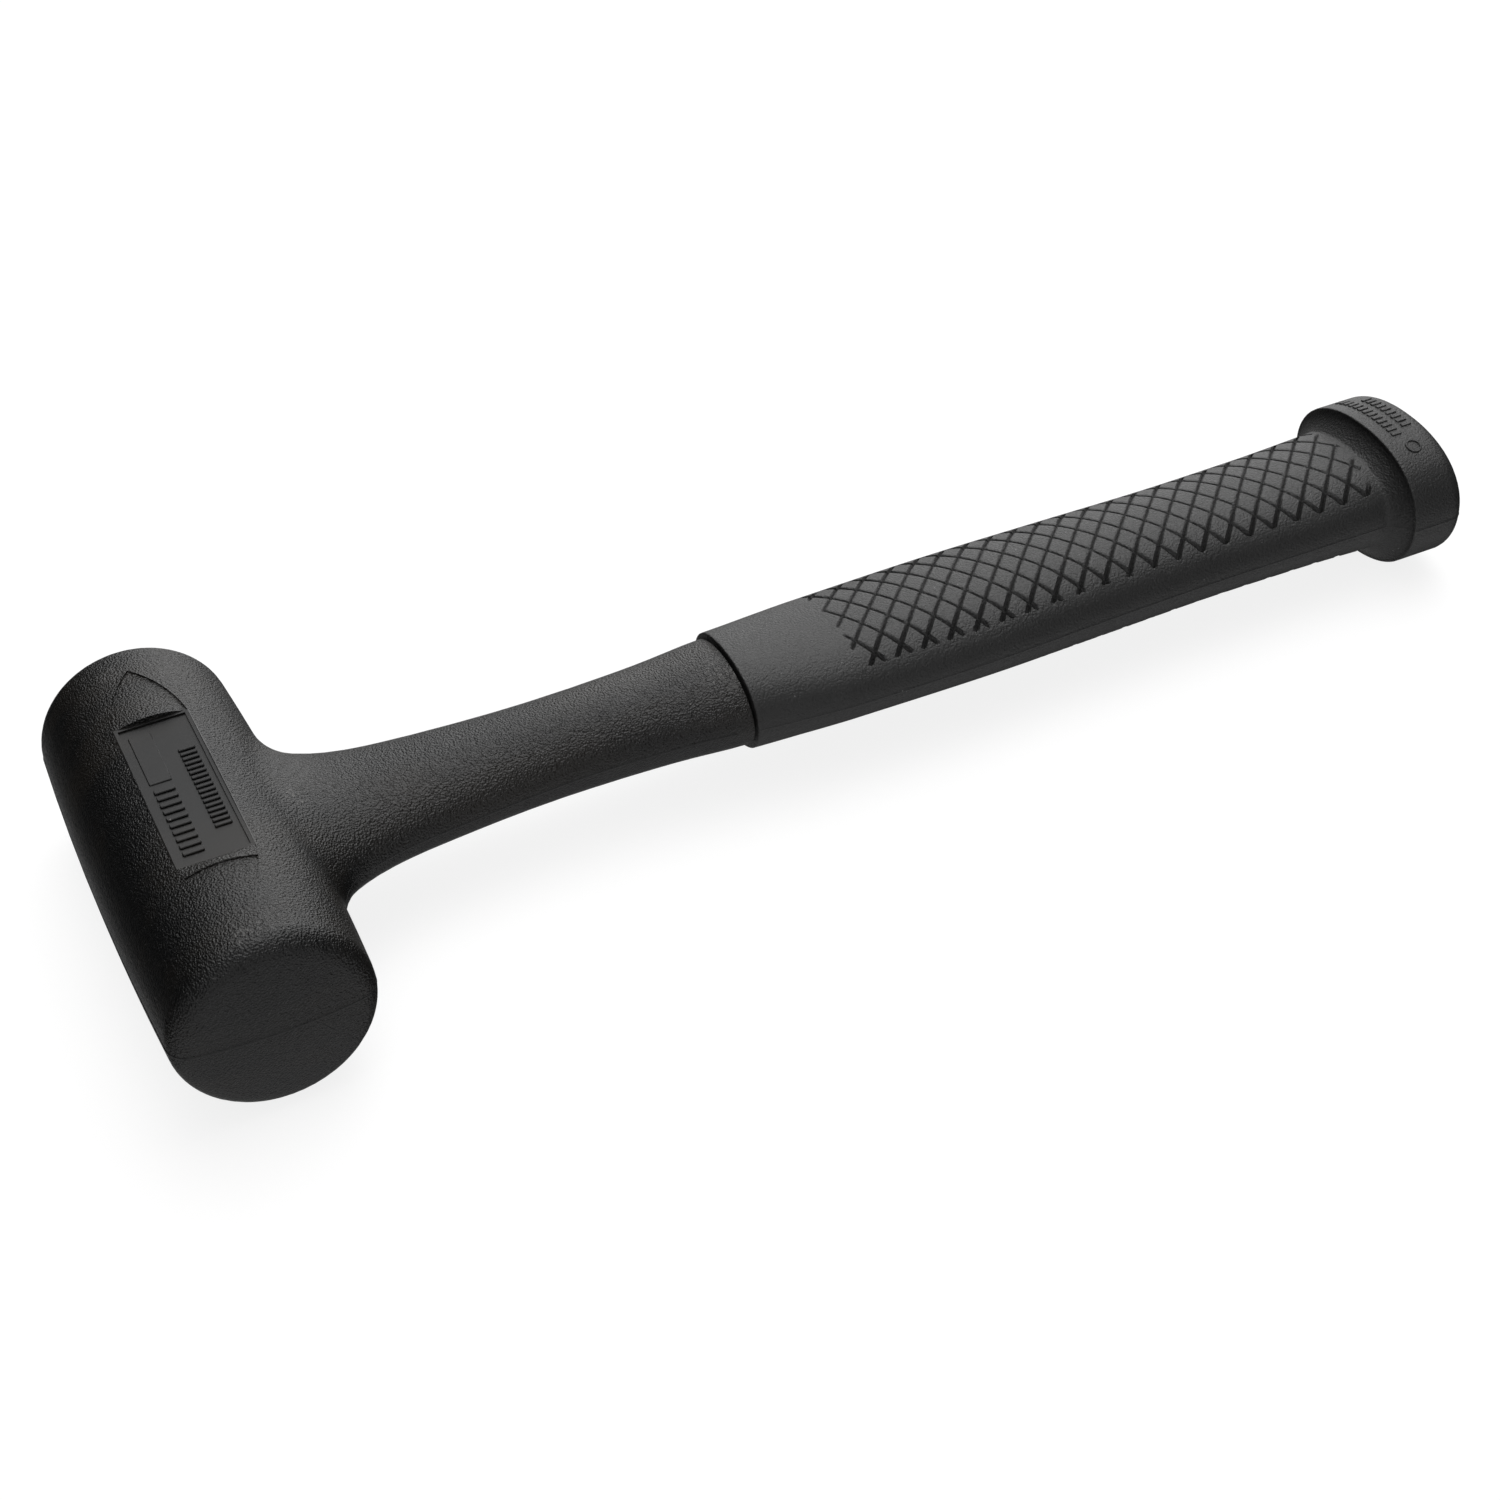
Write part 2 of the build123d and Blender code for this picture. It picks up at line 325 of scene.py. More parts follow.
def casing_material():
    """Black polyurethane with a pebbled mould grain, rubbed at the neck's ends and on the head's crests."""
    n = MaterialNodes("casing_polyurethane")
    pebbles = n.cells(scale=3300, feature="SMOOTH_F1")
    fine = n.math("MULTIPLY", n.noise(scale=5200), 0.5)
    grained = n.math("SUBTRACT", 1.0, panel_mask(n))
    grain = n.math("MULTIPLY", n.math("SUBTRACT", fine, pebbles), grained)
    waves = n.bump(n.noise(scale=170, detail=1.0), distance=0.06 * MM, strength=0.5)
    n.drive("Normal", n.bump(grain, distance=0.21 * MM, normal=waves))
    streaks = n.noise(scale=110, detail=3.0, vector=n.stretched((0.25, 1.0, 1.0)))
    black = n.blend_colours(n.spread(streaks, 0.45, 0.65), grey(0.005, -0.03), grey(0.010, 0.15))
    wear = casing_wear(n)
    n.drive("Base Color", n.blend_colours(wear, black, grey(0.20, 0.03)))
    sheen = n.spread(pebbles, 0.0, 0.55, CASING_ROUGHNESS - 0.06, CASING_ROUGHNESS + 0.06)
    n.drive("Roughness", n.math("ADD", sheen, n.math("MULTIPLY", wear, 0.2)))
    return n.material


def seam_material():
    """The same polyurethane along the parting line, smooth where the mould halves met."""
    n = MaterialNodes("casing_parting_line")
    ripples = n.noise(scale=700)
    n.drive("Normal", n.bump(ripples, distance=0.04 * MM, strength=0.5))
    n.drive("Base Color", n.blend_colours(n.noise(scale=260), grey(0.006), grey(0.012)))
    n.drive("Roughness", n.spread(ripples, *NOISE_SPAN, 0.36, 0.46))
    return n.material


def rubber_material():
    """Matte black rubber with fine grain and dust."""
    n = MaterialNodes("grip_rubber")
    grain = n.noise(scale=2700, detail=3.0)
    coarse = n.bump(n.noise(scale=420), distance=0.06 * MM, strength=0.5)
    n.drive("Normal", n.bump(grain, distance=0.18 * MM, normal=coarse))
    black = n.blend_colours(n.noise(scale=150, detail=4.0), grey(0.009), grey(0.015))
    specks = n.math("MULTIPLY", dust(n, spacing=2.3 * MM, size=0.15 * MM, share=0.5), 0.6)
    n.drive("Base Color", n.blend_colours(specks, black, grey(0.24)))
    n.drive("Roughness", n.spread(grain, *NOISE_SPAN, RUBBER_ROUGHNESS - 0.05, RUBBER_ROUGHNESS + 0.05))
    n.shader.inputs["Specular IOR Level"].default_value = 0.66
    return n.material


def steel_material(name, colour, roughness, brushed=(1.0, 1.0, 1.0)):
    """Steel with fine lines, drawn out along the axis whose factor in brushed is small."""
    n = MaterialNodes(name)
    lines = n.noise(scale=900, detail=3.0, vector=n.stretched(brushed))
    n.drive("Normal", n.bump(lines, distance=0.03 * MM, strength=0.5))
    n.drive("Roughness", n.spread(lines, *NOISE_SPAN, roughness - 0.08, roughness + 0.08))
    darker = [0.75 * c for c in colour]
    n.drive("Base Color", n.blend_colours(n.noise(scale=120, detail=4.0), (*darker, 1.0), (*colour, 1.0)))
    n.shader.inputs["Metallic"].default_value = 1.0
    return n.material


# ---------------------------------------------------------------------------
# Grip sleeve. Each ring of its mesh is given by its place along the handle, how far it stands out from
# the plain sleeve, and its slant: 1 where its points lie on the diamond pattern's grid, 0 off it.
# ---------------------------------------------------------------------------
SLEEVE_LIP = 0.25 * MM         # round of the front edge
FLANGE_LIP = 0.3 * MM          # round of the flange's front edge
FLARE_CREASE = 0.60            # share of the flare's rise that is a straight cone
SEAM_HEIGHT = 0.10 * MM
SEAM_HALF_WIDTH = 0.22 * MM
SLEEVE_SHARP_ANGLE = math.radians(32)

# Diamond pattern, laid out in plan, as the mould cut it: one family of grooves is steeper than the other.
DIAMOND_LENGTH = 4.728 * MM    # along the handle
ROW_WIDTH = 3.018 * MM         # across the flank, from one row of crossings to the next
ROW_SHIFT = 2.822 * MM         # how far a row lies towards the butt from the one nearer the viewer
ROW_DRIFT = -0.0154            # the rows wander across the flank along the handle
PATTERN_ORIGIN = (150.185 * MM, -0.84 * MM)
PATTERN_FRONT = 105.4 * MM
PATTERN_REAR = 205.5 * MM
UPPER_SHARE = 0.80             # share of the half width that the pattern covers on each flank
LOWER_SHARE = 0.875
GROOVE_DEPTH = 0.32 * MM
GROOVE_DEPTH_GAIN = 0.62 * MM  # deeper towards the pattern's edge
GROOVE_HALF_WIDTH = 0.29 * MM
GROOVE_WIDTH_GAIN = 0.13 * MM
GROOVE_RUN_OUT = 0.35 * MM     # length over which a groove ends
PAD_EDGE_DROP = 0.05 * MM      # rounding of the pads towards the grooves
PAD_EDGE_REACH = 0.45 * MM

# How fine the sleeve's mesh is.
CELLS = 8                      # from one row of crossings to the next, and in half a diamond
GRID_STEP = DIAMOND_LENGTH / (2 * CELLS)
GRID_LEAD = 6                  # grid steps before the pattern
NEAR_CELLS = 30                # on the near and the far side of the pattern's middle row
FAR_CELLS = 32
PLAIN_SHARE = 0.76             # share of the half width that the flank's points cover off the pattern
SIDE_SEGMENTS = 22
SIDE_CLOSENESS = 1.6           # gathers the side's points round the parting line
LIP_STEPS = 4
PLAIN_STEPS = 31               # from the front lip to the pattern's grid
FLARE_STEPS = 16
FLARE_GRID_FADE = 1.6          # how fast the points of the flare leave the pattern's grid
RIM_STEPS = 14
BUTT_STEPS = 14
BUTT_RINGS = (0.75, 0.5, 0.25)  # rings of the butt's end face, as shares of its size

width_before_flare = smooth_curve([(x, width) for x, width, _ in GRIP_PROFILE])
thickness_before_flare = smooth_curve([(x, thickness) for x, _, thickness in GRIP_PROFILE])


def flare_share(x):
    """0 where the hollow flare starts with a crease, 1 at the flange."""
    along = min(max((x - FLARE_START) / (FLANGE_FRONT - FLARE_START), 0.0), 1.0)
    hollow = 1 - math.sqrt(1 - along * along)
    return FLARE_CREASE * along + (1 - FLARE_CREASE) * hollow


def half_width_at(x):
    top = FLANGE_HALF_WIDTH - FLANGE_LIP
    return width_before_flare(x) + (top - GRIP_PROFILE[-1][1]) * flare_share(x)


def half_thickness_at(x):
    top = FLANGE_HALF_THICKNESS - FLANGE_LIP
    return thickness_before_flare(x) + (top - GRIP_PROFILE[-1][2]) * flare_share(x)


def oval_height(y, half_width, half_thickness):
    inside = max(0.0, 1 - abs(y / half_width) ** GRIP_ROUNDNESS)
    return half_thickness * inside ** (1 / GRIP_ROUNDNESS)


def row_number(x, y):
    """Position across the pattern, counted in rows of crossings."""
    return (y - PATTERN_ORIGIN[1] - ROW_DRIFT * (x - PATTERN_ORIGIN[0])) / ROW_WIDTH


def groove_depth(x, y, share):
    """How deep the diamond pattern is cut at a point of a flank, seen in plan."""
    edge = share * half_width_at(x)
    row = row_number(x, y)
    near_room = (row + NEAR_CELLS / CELLS) * ROW_WIDTH
    far_room = (FAR_CELLS / CELLS - row) * ROW_WIDTH
    room = min(x - PATTERN_FRONT, PATTERN_REAR - x, edge - abs(y), near_room, far_room)
    if room <= 0:
        return 0.0
    step = (x - PATTERN_ORIGIN[0] - ROW_SHIFT * row) / DIAMOND_LENGTH
    edge_gain = (abs(y) / edge) ** 3
    deepest = GROOVE_DEPTH + GROOVE_DEPTH_GAIN * edge_gain
    half_width = GROOVE_HALF_WIDTH + GROOVE_WIDTH_GAIN * edge_gain
    depth = 0.0
    for line, shift in ((step, ROW_SHIFT), (step + row, ROW_SHIFT - DIAMOND_LENGTH)):
        spacing = DIAMOND_LENGTH * ROW_WIDTH / math.hypot(shift, ROW_WIDTH)
        distance = abs(line - round(line)) * spacing
        wall = deepest * (1 - distance / half_width)
        rounding = PAD_EDGE_DROP * (1 - distance / PAD_EDGE_REACH)
        depth = max(depth, wall, rounding)
    return depth * min(room / GROOVE_RUN_OUT, 1.0)


def first_grid_x():
    steps = math.floor((PATTERN_FRONT - PATTERN_ORIGIN[0]) / GRID_STEP) - GRID_LEAD
    return PATTERN_ORIGIN[0] + steps * GRID_STEP


def front_rings():
    """Rings from the rounded front edge to the start of the pattern's grid."""
    rings = []
    for step in range(LIP_STEPS + 1):
        turn = math.pi / 2 * step / LIP_STEPS
        inset = SLEEVE_LIP * (1 - math.sin(turn))
        rings.append((SLEEVE_FRONT + SLEEVE_LIP * (1 - math.cos(turn)), -inset, 0.0))
    start = SLEEVE_FRONT + SLEEVE_LIP
    end = first_grid_x()
    for step in range(1, PLAIN_STEPS):
        share = step / PLAIN_STEPS
        rings.append((start + (end - start) * share, 0.0, smoothstep(0.2, 1.0, share)))
    return rings


def grid_rings():
    """Rings on the pattern's own grid, so that the grooves' bottoms run along mesh edges."""
    start = first_grid_x()
    count = round((PATTERN_REAR - start) / GRID_STEP)
    return [(start + step * GRID_STEP, 0.0, 1.0) for step in range(count + 1)]


def flare_rings(start):
    """Rings along the rest of the hollow flare, from the last ring of the grid."""
    rings = []
    length = FLANGE_FRONT - FLARE_START
    first_turn = math.asin((start - FLARE_START) / length)
    for step in range(1, FLARE_STEPS + 1):
        share = step / FLARE_STEPS
        turn = first_turn + (math.pi / 2 - first_turn) * share
        slant = max(0.0, 1 - FLARE_GRID_FADE * share) ** 2
        rings.append((FLARE_START + length * math.sin(turn), 0.0, slant))
    return rings


def flange_rings():
    """Rings along the rim, with its slightly rounded front edge, and round the butt's edge."""
    rings = []
    for step in range(1, LIP_STEPS + 1):
        turn = math.pi / 2 * step / LIP_STEPS
        rings.append((FLANGE_FRONT + FLANGE_LIP * (1 - math.cos(turn)), FLANGE_LIP * math.sin(turn), 0.0))
    start = FLANGE_FRONT + FLANGE_LIP
    end = BUTT_X - BUTT_ROUND
    for step in range(1, RIM_STEPS):
        rings.append((start + (end - start) * step / RIM_STEPS, FLANGE_LIP, 0.0))
    for step in range(BUTT_STEPS + 1):
        turn = math.pi / 2 * step / BUTT_STEPS
        inward = BUTT_ROUND * (1 - math.cos(turn))
        rings.append((end + BUTT_ROUND * math.sin(turn), FLANGE_LIP - inward, 0.0))
    return rings


def flank_point(base_x, slant, index):
    """Place in plan of one point of a ring on a flank."""
    row = index / CELLS
    x = base_x + slant * (ROW_SHIFT - DIAMOND_LENGTH / 2) * row
    on_grid = PATTERN_ORIGIN[1] + ROW_WIDTH * row + ROW_DRIFT * (x - PATTERN_ORIGIN[0])
    middle = (FAR_CELLS - NEAR_CELLS) / 2
    reach = (FAR_CELLS + NEAR_CELLS) / 2
    plain = PLAIN_SHARE * half_width_at(x) * (index - middle) / reach
    return x, plain + (on_grid - plain) * slant


def side_points(start, end, extra, side):
    """Points of a ring between the edges of its two flanks, with the thin moulding seam half way.

    side is 1 on the far side of the sleeve and -1 on the near side.
    """
    points = []
    x = start[0]
    for step in range(1, SIDE_SEGMENTS):
        t = 1 - 2 * step / SIDE_SEGMENTS
        share = math.copysign(abs(t) ** SIDE_CLOSENESS, t)
        z = start[2] * share if share > 0 else -end[2] * share
        y = oval_height(z, half_thickness_at(x) + extra, half_width_at(x) + extra)
        y += SEAM_HEIGHT * max(0.0, 1 - abs(z) / SEAM_HALF_WIDTH)
        points.append((x, side * y, z))
    return points


def ring_points(base_x, extra, slant):
    """One ring: the upper flank from far to near, the near side, the lower flank and the far side."""
    upper = []
    lower = []
    for index in range(-NEAR_CELLS, FAR_CELLS + 1):
        x, y = flank_point(base_x, slant, index)
        height = oval_height(y, half_width_at(x) + extra, half_thickness_at(x) + extra)
        upper_cut = groove_depth(x, y, UPPER_SHARE) if slant == 1.0 else 0.0
        lower_cut = groove_depth(x, y, LOWER_SHARE) if slant == 1.0 else 0.0
        upper.append((x, y, height - upper_cut))
        lower.append((x, y, lower_cut - height))
    upper.reverse()
    near_side = side_points(upper[-1], lower[0], extra, -1)
    far_side = side_points(upper[0], lower[-1], extra, 1)
    far_side.reverse()
    return upper + near_side + lower + far_side


def split_along_groove(vertices, a, b, e, d):
    """Two triangles of a cell, split on the diagonal that keeps a groove's bottom sharp."""
    corners = [vertices[i] for i in (a, b, e, d)]
    middle_x = sum(p[0] for p in corners) / 4
    middle_y = sum(p[1] for p in corners) / 4
    share = UPPER_SHARE if corners[0][2] > 0 else LOWER_SHARE
    cuts = [groove_depth(p[0], p[1], share) for p in corners]
    wanted = groove_depth(middle_x, middle_y, share)
    first = abs((cuts[0] + cuts[2]) / 2 - wanted)
    second = abs((cuts[1] + cuts[3]) / 2 - wanted)
    if first <= second:
        return [(a, b, e), (a, e, d)]
    return [(a, b, d), (b, e, d)]


def outer_faces(vertices, rings, count):
    """Faces between the rings: triangles along the grooves on the pattern's grid, four-sided off it."""
    faces = []
    for r in range(len(rings) - 1):
        cells = []
        join_rings(cells, r * count, (r + 1) * count, count)
        if rings[r][2] == 1.0 and rings[r + 1][2] == 1.0:
            for cell in cells:
                faces.extend(split_along_groove(vertices, *cell))
        else:
            faces.extend(cells)
    return faces


def close_butt(vertices, faces, last, count):
    """Closes the butt with rings that shrink to its middle; last is the first point of the last ring."""
    outer = vertices[last:last + count]
    end_x = outer[0][0]
    previous = last
    for share in BUTT_RINGS:
        start = len(vertices)
        vertices.extend((end_x, y * share, z * share) for _, y, z in outer)
        join_rings(faces, previous, start, count)
        previous = start
    centre = len(vertices)
    vertices.append((end_x, 0.0, 0.0))
    for c in range(count):
        faces.append((previous + c, previous + (c + 1) % count, centre))


def line_inside(vertices, faces, count):
    """Lines the sleeve from its front edge along the core to the core's end."""
    front = vertices[0:count]
    angles = [math.atan2(z / CORE_HALF_THICKNESS, y / CORE_HALF_WIDTH) for _, y, z in front]
    previous = 0
    for x in (SLEEVE_FRONT, CORE_END):
        start = len(vertices)
        for angle in angles:
            vertices.append((x, CORE_HALF_WIDTH * math.cos(angle), CORE_HALF_THICKNESS * math.sin(angle)))
        join_rings(faces, start, previous, count)
        previous = start
    centre = len(vertices)
    vertices.append((CORE_END, 0.0, 0.0))
    for c in range(count):
        faces.append((previous + (c + 1) % count, previous + c, centre))


def grip_sleeve(material):
    """The rubber sleeve with its diamond pattern, in place of the plain CAD sleeve."""
    grid = grid_rings()
    rings = front_rings() + grid + flare_rings(grid[-1][0]) + flange_rings()
    vertices = []
    for ring in rings:
        vertices.extend(ring_points(*ring))
    count = len(vertices) // len(rings)
    faces = outer_faces(vertices, rings, count)
    close_butt(vertices, faces, len(vertices) - count, count)
    line_inside(vertices, faces, count)
    sleeve = new_piece("grip_sleeve_moulded", vertices, faces, material)
    sleeve.data.set_sharp_from_angle(angle=SLEEVE_SHARP_ANGLE)
    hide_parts("grip_sleeve")


# ---------------------------------------------------------------------------
# Moulding seam of the casing
# ---------------------------------------------------------------------------
WELD_DISTANCE = 0.001 * MM     # points of the CAD mesh nearer than this are one
CUT_TOLERANCE = 0.0001 * MM
SEAM_STOP = SHOULDER_X - 0.2 * MM
BEAD_HEIGHT = 0.09 * MM
BEAD_HALF_WIDTH = 0.17 * MM
BEAD_ROOT = 0.15 * MM          # how deep the bead is set into the casing
BEAD_SINK = 0.02 * MM          # how far the bead's round starts below the casing's skin
BEAD_STEP = 0.4 * MM
BEAD_SEGMENTS = 6
BEAD_WANDER = 0.07 * MM
LONG_WAVE = 9.1 * MM
SHORT_WAVE = 3.7 * MM


def cut_neighbours(bm):
    """Each point of the mesh's cut through the parting plane, with the points next to it."""
    everything = bm.verts[:] + bm.edges[:] + bm.faces[:]
    up = (0, 0, 1)
    cut = bmesh.ops.bisect_plane(bm, geom=everything, dist=CUT_TOLERANCE, plane_co=(0, 0, 0), plane_no=up)
    neighbours = {}
    for item in cut["geom_cut"]:
        if isinstance(item, bmesh.types.BMEdge):
            first, second = item.verts
            neighbours.setdefault(first, []).append(second)
            neighbours.setdefault(second, []).append(first)
    return neighbours


def parting_outline():
    """Points of the casing's outline in the parting plane, round the head from shoulder to shoulder."""
    bm = bmesh.new()
    bm.from_mesh(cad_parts["casing"].data)
    bmesh.ops.remove_doubles(bm, verts=bm.verts, dist=WELD_DISTANCE)
    neighbours = cut_neighbours(bm)
    start = min(neighbours, key=lambda vertex: vertex.co.x)
    branches = []
    for second in neighbours[start][:2]:
        branch = []
        previous, current = start, second
        while current.co.x < SEAM_STOP:
            branch.append(current.co.xy)
            following = [vertex for vertex in neighbours[current] if vertex != previous]
            previous, current = current, following[0]
        branches.append(branch)
    outline = branches[0][::-1] + [start.co.xy] + branches[1]
    bm.free()
    return outline


def even_steps(points, step):
    """The same path with points an even step apart."""
    result = [points[0]]
    carried = 0.0
    for first, second in zip(points, points[1:]):
        length = (second - first).length
        place = step - carried
        while place < length:
            result.append(first.lerp(second, place / length))
            place += step
        carried = length - (place - step)
    return result


def seam_bead(material):
    """A thin raised line where the two halves of the mould met."""
    path = even_steps(parting_outline(), BEAD_STEP)
    profile = [(-BEAD_ROOT, 0.0)]
    for index in range(BEAD_SEGMENTS + 1):
        turn = math.pi * index / BEAD_SEGMENTS
        profile.append((BEAD_HEIGHT * math.sin(turn) - BEAD_SINK, BEAD_HALF_WIDTH * math.cos(turn)))
    vertices = []
    side = 0
    for index, point in enumerate(path):
        tangent = (path[min(index + 1, len(path) - 1)] - path[max(index - 1, 0)]).normalized()
        outward = Vector((tangent.y, -tangent.x))
        if side == 0:
            side = 1 if outward.y * point.y > 0 else -1
        outward *= side
        along = index * BEAD_STEP
        wander = BEAD_WANDER * (math.sin(along / LONG_WAVE) + 0.5 * math.sin(along / SHORT_WAVE + 1.0))
        for out, z in profile:
            vertices.append((point.x + outward.x * out, point.y + outward.y * out, z + wander))
    faces = bar_faces(len(path), len(profile))
    bead = new_piece("casing_seam_bead", vertices, faces, material)
    turn_faces_outwards(bead)


# ---------------------------------------------------------------------------
# Generic raised marks in the marking panels and on the flange's rim, with no lettering
# ---------------------------------------------------------------------------
MARK_SHARP_ANGLE = math.radians(30)
CORNER_STEPS = 4
BLOCK_BEVEL = 0.10 * MM
BLOCK_ROOT = 0.10 * MM         # how deep a block is set into the surface

# The blank plate in each panel: middle and half size along X and Y.
PLATE_MIDDLE = (-2.5 * MM, 8.8 * MM)
PLATE_HALF_SIZE = (1.7 * MM, 6.2 * MM)
PLATE_HEIGHT = 0.18 * MM
PLATE_CORNER = 0.25 * MM
BAR_HEIGHT = 0.32 * MM
# Each row of bars in a panel: place along the handle, first bar's place along the head, spacing,
# number of bars, half size of a bar and corner radius.
PANEL_ROWS = [
    (-2.5 * MM, 0.6 * MM, 1.68 * MM, 10, (1.6 * MM, 0.48 * MM), 0.30 * MM),
    (3.0 * MM, 8.5 * MM, 1.2 * MM, 17, (1.3 * MM, 0.33 * MM), 0.24 * MM),
]

# The ramp at the near end of each panel.
SILL_RADIUS = 15.80 * MM       # the skin of the head beside the ramp
SILL_HALF_WIDTH = PANEL_HALF_WIDTH - 0.1 * MM
SILL_FOOT_RISE = 0.35 * MM     # height of the ramp's foot above the panel's floor
SILL_TOP_Y = -19.0 * MM
SILL_END_Y = -19.9 * MM
SILL_BEVEL = 0.1 * MM
SILL_END_DEPTH = 1.2 * MM      # how deep the sill is set into the head at its end and at its foot
SILL_FOOT_DEPTH = 0.8 * MM
SILL_COLUMNS = 24

# Each row of bars on the rim: distance from the butt, first and last angle in degrees, number of bars.
RIM_ROWS = [
    (7.4 * MM, 52, 106, 13),
    (4.3 * MM, 64, 101, 9),
]
RIM_BAR_HALF_SIZE = (1.0 * MM, 0.42 * MM)
RIM_BAR_HEIGHT = 0.22 * MM
RIM_BAR_CORNER = 0.2 * MM
RIM_RING_ANGLE = 119
RIM_RING_FROM_BUTT = 6.3 * MM
RIM_RING_STEPS = 28
# Radius and height of the points of the ring's section.
RIM_RING_SECTION = [
    (1.05 * MM, -0.10 * MM),
    (1.05 * MM, 0.14 * MM),
    (1.15 * MM, 0.22 * MM),
    (1.35 * MM, 0.22 * MM),
    (1.45 * MM, 0.14 * MM),
    (1.45 * MM, -0.10 * MM),
]


def rounded_outline(centre, half_size, corner):
    """Points round a rectangle with rounded corners, in two coordinates."""
    points = []
    for quarter in range(4):
        quarter_start = quarter * math.pi / 2
        middle = quarter_start + math.pi / 4
        corner_a = centre[0] + math.copysign(half_size[0] - corner, math.cos(middle))
        corner_b = centre[1] + math.copysign(half_size[1] - corner, math.sin(middle))
        for step in range(CORNER_STEPS + 1):
            turn = quarter_start + math.pi / 2 * step / CORNER_STEPS
            points.append((corner_a + corner * math.cos(turn), corner_b + corner * math.sin(turn)))
    return points


def add_block(vertices, faces, place, centre, half_size, height, corner):
    """A low raised block with a bevelled top; place(a, b, height) says where its points go."""
    start = len(vertices)
    for inset, level in ((0.0, -BLOCK_ROOT), (0.0, height - BLOCK_BEVEL), (BLOCK_BEVEL, height)):
        half = (half_size[0] - inset, half_size[1] - inset)
        for a, b in rounded_outline(centre, half, corner - inset / 2):
            vertices.append(place(a, b, level))
    count = 4 * (CORNER_STEPS + 1)
    middle = start + count
    top = middle + count
    join_rings(faces, start, middle, count)
    join_rings(faces, middle, top, count)
    faces.append(tuple(top + c for c in range(count)))
    faces.append(tuple(start + c for c in reversed(range(count))))


def marks_piece(name, vertices, faces, material):
    """A piece with crisp edges that face outwards."""
    piece = new_piece(name, vertices, faces, material)
    turn_faces_outwards(piece)
    piece.data.set_sharp_from_angle(angle=MARK_SHARP_ANGLE)


def on_panel(flank):
    """A function that puts a point of a block on the floor of one flank's panel."""
    def place(x, y, level):
        return (x, y, flank * (PANEL_FLOOR + level))

    return place


def on_rim(flank, angle):
    """A function that puts a point of a block on the flange's rim, round a place given by its angle."""
    def place(x, across, level):
        speed = math.hypot(FLANGE_HALF_WIDTH * math.sin(angle), FLANGE_HALF_THICKNESS * math.cos(angle))
        turn = angle + across / speed
        y = FLANGE_HALF_WIDTH * math.cos(turn)
        z = oval_height(y, FLANGE_HALF_WIDTH, FLANGE_HALF_THICKNESS)
        out = Vector((math.cos(turn) / FLANGE_HALF_WIDTH, math.sin(turn) / FLANGE_HALF_THICKNESS))
        out.normalize()
        return (x, y + out.x * level, flank * (z + out.y * level))

    return place


def panel_marks(material):
    """Plain raised marks in each marking panel: a blank plate and two rows of bars."""
    for name, flank in FLANKS:
        vertices = []
        faces = []
        place = on_panel(flank)
        add_block(vertices, faces, place, PLATE_MIDDLE, PLATE_HALF_SIZE, PLATE_HEIGHT, PLATE_CORNER)
        for x, first_y, spacing, count, half_size, corner in PANEL_ROWS:
            for index in range(count):
                middle = (x, first_y - spacing * index)
                add_block(vertices, faces, place, middle, half_size, BAR_HEIGHT, corner)
        marks_piece("panel_marks_" + name, vertices, faces, material)


def sill_section(x):
    """The sill's section, in Y and Z, at a place across the panel."""
    skin = math.sqrt(SILL_RADIUS ** 2 - x * x)
    foot = min(PANEL_FLOOR + SILL_FOOT_RISE, skin)
    return [
        (-PANEL_HALF_LENGTH, foot),
        (SILL_TOP_Y, skin),
        (SILL_END_Y + SILL_BEVEL, skin),
        (SILL_END_Y, skin - SILL_BEVEL),
        (SILL_END_Y, skin - SILL_END_DEPTH),
        (-PANEL_HALF_LENGTH, foot - SILL_FOOT_DEPTH),
    ]


def panel_sills(material):
    """The ramp at the near end of each marking panel, which stands proud of the pointed facet beyond it."""
    for name, flank in FLANKS:
        vertices = []
        for column in range(SILL_COLUMNS + 1):
            x = SILL_HALF_WIDTH * (2 * column / SILL_COLUMNS - 1)
            section = sill_section(x)
            vertices.extend((x, y, flank * z) for y, z in section)
        faces = bar_faces(SILL_COLUMNS + 1, len(section))
        marks_piece("panel_sill_" + name, vertices, faces, material)


def add_rim_ring(vertices, faces, place):
    """A small raised ring beside the bars."""
    start = len(vertices)
    width = len(RIM_RING_SECTION)
    for index in range(RIM_RING_STEPS):
        turn = 2 * math.pi * index / RIM_RING_STEPS
        for radius, level in RIM_RING_SECTION:
            x = BUTT_X - RIM_RING_FROM_BUTT + radius * math.cos(turn)
            vertices.append(place(x, radius * math.sin(turn), level))
        after = (index + 1) % RIM_RING_STEPS
        join_rings(faces, start + index * width, start + after * width, width)


def rim_marks(material):
    """Plain raised marks on the flange's rim: two rows of bars and a ring."""
    for name, flank in FLANKS:
        vertices = []
        faces = []
        for from_butt, first, last, count in RIM_ROWS:
            middle = (BUTT_X - from_butt, 0.0)
            for index in range(count):
                place = on_rim(flank, math.radians(first + (last - first) * index / (count - 1)))
                add_block(vertices, faces, place, middle, RIM_BAR_HALF_SIZE, RIM_BAR_HEIGHT, RIM_BAR_CORNER)
        add_rim_ring(vertices, faces, on_rim(flank, math.radians(RIM_RING_ANGLE)))
        marks_piece("rim_marks_" + name, vertices, faces, material)


